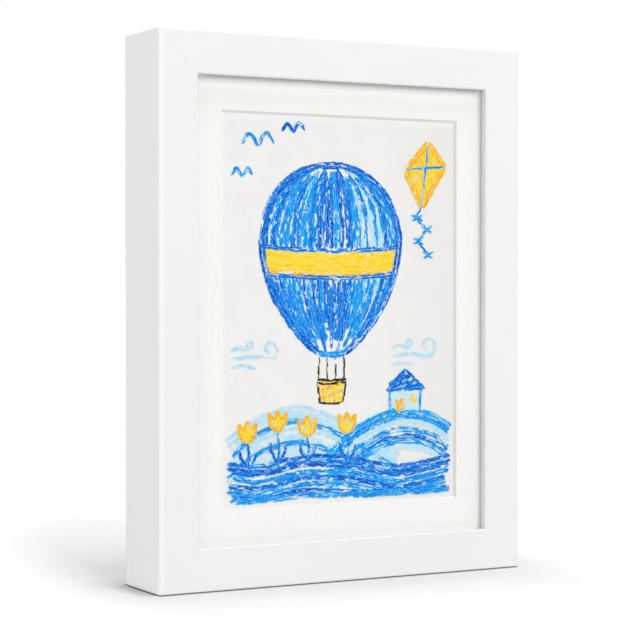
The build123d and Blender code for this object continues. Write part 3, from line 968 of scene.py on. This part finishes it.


# %% [markdown]
# Where the frame meets the floor a thin dark line is painted, since hardly any light gets into that crevice.
# It runs out just before the left back corner and the right front one, as in the photograph. All round
# the frame the floor is a little dimmer, most of all along the left wall: lamps as large as these leave
# such shade too soft.

# %% Shade beside the frame
crevice_rates = (6.2, 1.0, 2.5)
crevice_dark, crevice_reach = 0.03, (0.0045, 0.008)
crevice_end = 0.008
crevice_front_end, front_end_rate = 0.004, 1.7
side_change = 0.0003
near_shift = (0.015, 0, 0)
near_half = (half_width - near_shift[0], high_corner.y, 0)
near_rates = (1.5, 1.0, 4.0)
near_shade, near_reach = 0.79, 0.1
left_ends, left_start, left_fall = 2.0, 0.005, 0.5
left_shade, left_reach = 0.62, 0.012


def past(tree, start, axis="Y"):
    """How far beyond a line across the floor a point lies."""
    return add(tree, "Math", coordinate(tree, axis, -start), 0, operation="MAXIMUM")


def crevice_shade(tree, outside, sides, depth):
    """Dark in the crevice round the frame; it runs out before two of the corners."""
    rates = rates_at(tree, depth, *crevice_rates)
    beside = add(tree, "MapRange", sides["X"], 0, side_change, 0, 1)
    before = add(tree, "MapRange", sides["Y"], 0, side_change, 0, front_end_rate)
    back_end = product(tree, past(tree, high_corner.y - crevice_end), beside)
    front_end = product(tree, past(tree, half_width - crevice_front_end, "X"), before)
    ends = add(tree, "CombineXYZ", front_end, 0, back_end)
    far = add(tree, "VectorMath", outside, rates, ends, operation="MULTIPLY_ADD")
    far = add(tree, "VectorMath", far, operation="LENGTH")
    return add(tree, "MapRange", far, *crevice_reach, crevice_dark, 1)


def near_frame_shade(tree, depth):
    """Dim all round the frame, and less so at the right front corner."""
    rates = rates_at(tree, depth, *near_rates)
    far = add(tree, "VectorMath", outside_of(tree, near_shift, near_half), rates, operation="MULTIPLY")
    far = add(tree, "VectorMath", far, operation="LENGTH")
    return add(tree, "MapRange", far, 0, near_reach, near_shade, 1)


def left_wall_shade(tree, sides):
    """Dimmer along the left wall, and weaker towards its back."""
    across = add(tree, "Math", coordinate(tree, "X", half_width), operation="ABSOLUTE")
    fall = product(tree, past(tree, left_start), left_fall)
    along = add(tree, "Math", sides["Y"], left_ends, fall, operation="MULTIPLY_ADD")
    far = add(tree, "VectorMath", add(tree, "CombineXYZ", across, along), operation="LENGTH")
    return add(tree, "MapRange", far, 0, left_reach, left_shade, 1)


# %% [markdown]
# To the camera the floor is pale paint with a little light of its own, which keeps the shadow. In front
# the paint is a shade warmer, because the drawing throws blue light on it. To soft light it is ordinary
# pale paint, so that the underside of the top moulding stays darker than its front.

# %% Floor
floor_reach = 8.0
rim_points = 64
floor_glow = 0.05
floor_mottle_mm, mottle_share = 60, 0.015
warm_front = 0.03


def seen_rays(tree):
    """One for rays from the camera, or by mirror or glass; zero for soft light."""
    path = add(tree, "LightPath").outputs
    first = add(tree, "Math", path["Is Camera Ray"], path["Is Glossy Ray"], operation="MAXIMUM")
    return add(tree, "Math", first, path["Is Transmission Ray"], operation="MAXIMUM")


def floor_material():
    """Pale paint that keeps the shadow near the frame, and plain white further out."""
    material, tree = new_material("seamless_white_ground")
    outside = outside_of(tree, (0, 0, 0), footprint)
    sides = add(tree, "SeparateXYZ", outside).outputs
    depth = coordinate(tree, "Y")
    behind = add(tree, "MapRange", depth, -warm_front, warm_front, 0, 1)
    mottle = add(tree, "MapRange", pattern(tree, floor_mottle_mm), *noise_span, 0, mottle_share)
    paint = layered(tree, "#F4F3F0", (behind, "#F2F3F4"), (mottle, "#000000"))
    # Painted shade near the frame: the crevice line, a dim ring round the frame and a strip along the left
    # wall.
    light = product(tree, crevice_shade(tree, outside, sides, depth), near_frame_shade(tree, depth),
                    left_wall_shade(tree, sides))
    near = add(tree, "BsdfDiffuse", layered(tree, "#000000", (light, paint)))
    lit = add(tree, "AddShader", near, add(tree, "Emission", "#FFFFFF", floor_glow))
    white = add(tree, "Emission", "#FFFFFF", 1.0)
    ground = add(tree, "MixShader", plain_white(tree, outside, depth), lit, white)
    pale = add(tree, "BsdfDiffuse", "#E8E8E8")
    add(tree, "OutputMaterial", add(tree, "MixShader", seen_rays(tree), pale, ground))
    return material


floor_mesh = bpy.data.meshes.new("floor")
turns = [2 * math.pi * i / rim_points for i in range(rim_points)]
rim = [(floor_reach * math.cos(turn), floor_reach * math.sin(turn), 0) for turn in turns]
floor_mesh.from_pydata(rim, [], [tuple(range(rim_points))])
floor_mesh.materials.append(floor_material())
floor = new_object("floor", floor_mesh)

# %% [markdown]
# The world is a white room. Its soft light fills the shade that the lamps leave. The camera, mirrors and
# glass see it as plain white, whatever its strength as a light.

# %% World
ambient = 0.6
world = bpy.data.worlds.new("white_studio")
world.use_nodes = True
world.node_tree.nodes.clear()
studio = world.node_tree
soft = add(studio, "Background", "#FFFFFF", ambient)
seen = add(studio, "Background", "#FFFFFF", 1.0)
add(studio, "OutputWorld", add(studio, "MixShader", seen_rays(studio), soft, seen))
bpy.context.scene.world = world

# %% [markdown]
# Three large soft lamps shape the frame. The key stands in front, to the right and above, and gives the
# front most of its light and the mat its shade under the top moulding. A second one, to the left and a
# little behind, lifts only the side wall, so the arris stays crisp. The third hangs overhead and lights
# the ledge of the bottom moulding. They were weighed by rendering each alone, and adding the pictures up
# to match the photograph.

# %% Lamps
target = Vector((0, 0, middle_height))


def soft_lamp(name, place, size, power):
    """A soft square lamp that faces the frame's middle."""
    lamp = bpy.data.lights.new(name, "AREA")
    lamp.size = size
    lamp.energy = power
    item = new_object(name, lamp)
    item.location = place
    item.rotation_euler = (target - Vector(place)).to_track_quat("-Z", "Y").to_euler()


soft_lamp("key_lamp", (1.01, -2.77, 2.2), 1.5, 39)
soft_lamp("side_lamp", (-1.82, 0.66, 0.66), 1.4, 5.6)
soft_lamp("overhead_lamp", (0.0, -0.52, 3.09), 1.8, 29.5)

# %% [markdown]
# The view transform is Standard, so that a colour on the screen is the colour in the shader.

# %% Finish
bpy.context.scene.view_settings.view_transform = "Standard"
